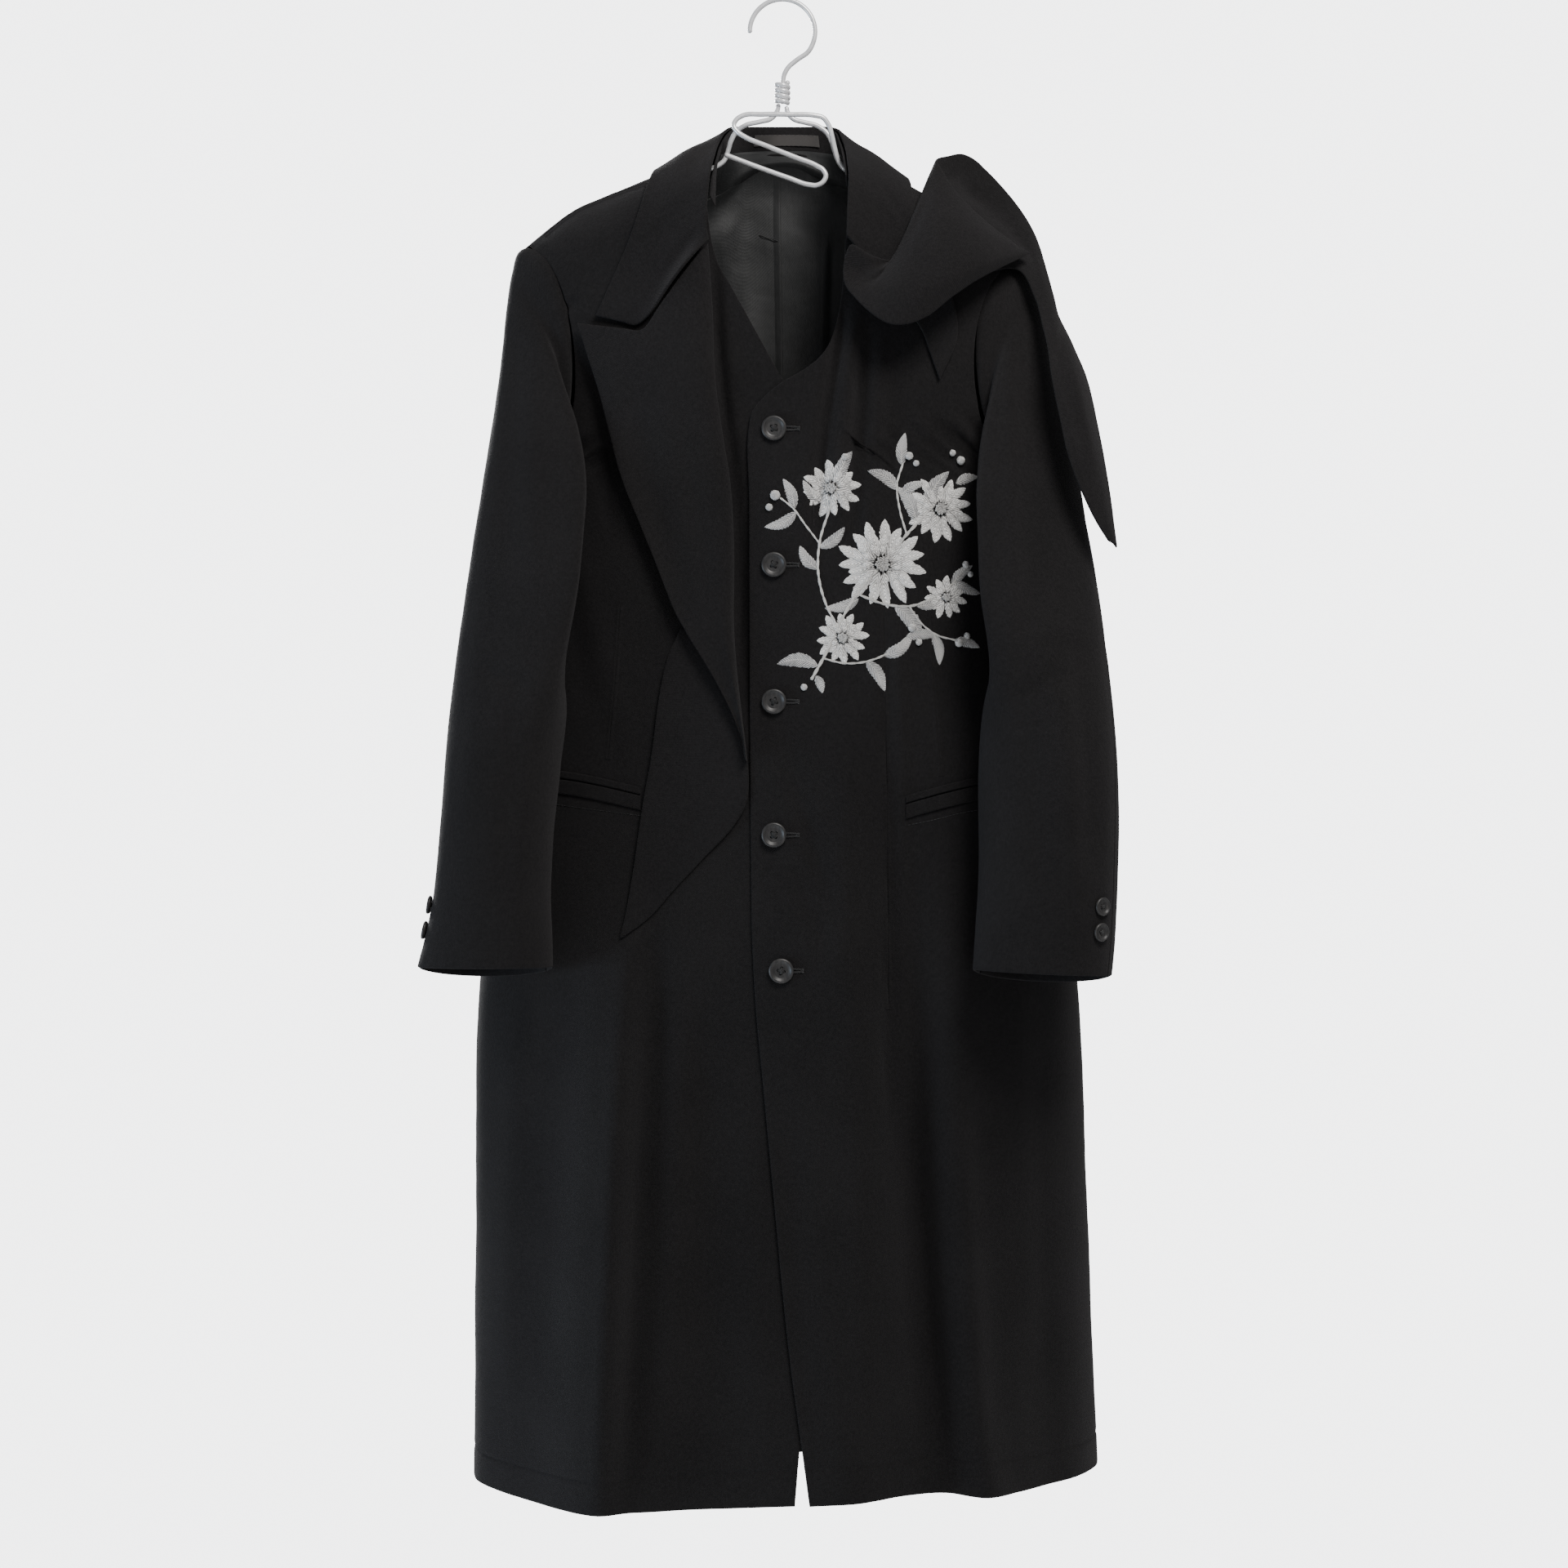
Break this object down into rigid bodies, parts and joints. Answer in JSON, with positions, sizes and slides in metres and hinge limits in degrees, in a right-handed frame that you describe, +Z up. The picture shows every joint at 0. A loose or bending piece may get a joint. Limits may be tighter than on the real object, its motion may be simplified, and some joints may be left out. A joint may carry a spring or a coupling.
{
  "type": "embroidered coat on wire hanger",
  "caption": "Long single-breasted black wool coat with an embroidered front, peaked lapels, one lapel thrown over the shoulder, on a bent wire hanger with a clip.",
  "frame": {"origin": "the top of the inside of the hanger's hook, where a rail carries it", "axes": "+Z up, -Y toward the front of the coat, +X toward the wearer's left"},
  "size_m": [0.5822, 0.315, 1.2832],
  "materials": {
    "wool": "matte black wool",
    "lining": "smooth dark grey lining",
    "button": "satin black",
    "wire": "satin silver",
    "label": "woven"
  },
  "bodies": {
    "root": {"back": "wool", "front_right": "wool", "front_left": "wool", "lining_back": "lining", "sleeve_right_top": "wool", "sleeve_right_under": "wool", "sleeve_left_top": "wool", "sleeve_left_under": "wool", "collar_leaf": "wool", "collar_stand": "wool", "neck_label": "label", "lapel_right": "wool", "lapel_right_tail": "wool", "lapel_left": "wool", "pocket_right_jet": "wool", "pocket_right_welt": "wool", "pocket_left_jet": "wool", "pocket_left_welt": "wool", "button_front_1": "button", "button_front_2": "button", "button_front_3": "button", "button_front_4": "button", "button_front_5": "button", "button_cuff_right_1": "button", "button_cuff_right_2": "button", "button_cuff_left_1": "button", "button_cuff_left_2": "button", "hanger_hook": "wire", "hanger_twist": "wire", "hanger_arm_right": "wire", "hanger_arm_left": "wire", "hanger_clip": "wire"}
  },
  "joints": []
}
